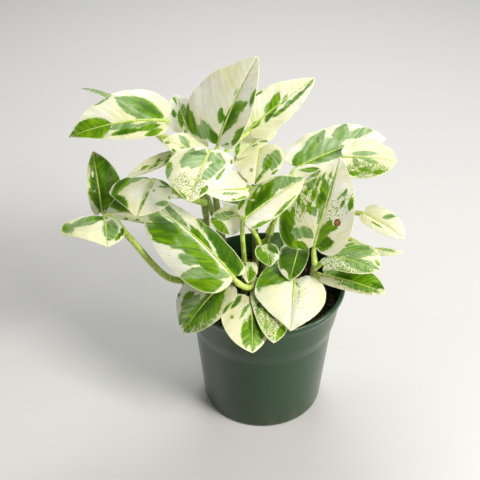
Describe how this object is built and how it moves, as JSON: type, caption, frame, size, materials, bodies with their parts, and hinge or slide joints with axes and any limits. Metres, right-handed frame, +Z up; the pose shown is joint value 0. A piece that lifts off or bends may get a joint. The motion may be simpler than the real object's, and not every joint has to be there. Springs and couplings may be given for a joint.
{
  "type": "potted variegated pothos",
  "caption": "Trailing aroid house plant with heart-shaped leaves marbled green and cream, rooted in a round tapered nursery pot of dark green plastic.",
  "frame": {"origin": "on the pot's axis, on the flat underside of its floor", "axes": "+Z up along the pot's axis; the picture looks from -Y towards +Y, with +X to its right"},
  "size_m": [0.2215, 0.1563, 0.24],
  "materials": {
    "pot": "satin",
    "potting_mix": "loose fibrous mix",
    "stem": "satin, fleshy",
    "leaf": "waxy, cream blade with green marbling"
  },
  "bodies": {
    "root": {"pot": "pot", "potting_mix": "potting_mix", "vine_front": "stem", "vine_right": "stem", "vine_middle": "stem", "vine_tall": "stem", "vine_back": "stem", "vine_left": "stem", "vine_back_left": "stem", "vine_back_right": "stem", "vine_far_right": "stem", "leaf_front_big": "leaf", "leaf_front_centre": "leaf", "leaf_front_speckled": "leaf", "leaf_front_left_low": "leaf", "leaf_front_heart": "leaf", "leaf_right_main": "leaf", "leaf_right_mid": "leaf", "leaf_right_low": "leaf", "leaf_thin_right": "leaf", "leaf_top_centre": "leaf", "leaf_centre_speckled": "leaf", "leaf_upper_mid_left": "leaf", "leaf_top_right": "leaf", "leaf_below_top_right": "leaf", "leaf_centre_white": "leaf", "leaf_centre_pale": "leaf", "leaf_left_white": "leaf", "leaf_left_fold": "leaf", "leaf_left_upright": "leaf", "leaf_far_left_low": "leaf", "leaf_rolled": "leaf", "leaf_top_left": "leaf", "leaf_far_back_left": "leaf", "leaf_back_bit": "leaf", "leaf_back_low_left": "leaf", "leaf_back_top": "leaf", "leaf_back_middle": "leaf", "leaf_back_low": "leaf", "leaf_back_low_right": "leaf", "leaf_centre_right": "leaf", "leaf_behind_big": "leaf", "leaf_inner_cream": "leaf", "leaf_back_right": "leaf", "leaf_inner_speckled": "leaf", "leaf_right_round": "leaf", "leaf_right_small": "leaf", "leaf_inner_dark": "leaf", "leaf_inner_deep": "leaf"}
  },
  "joints": []
}
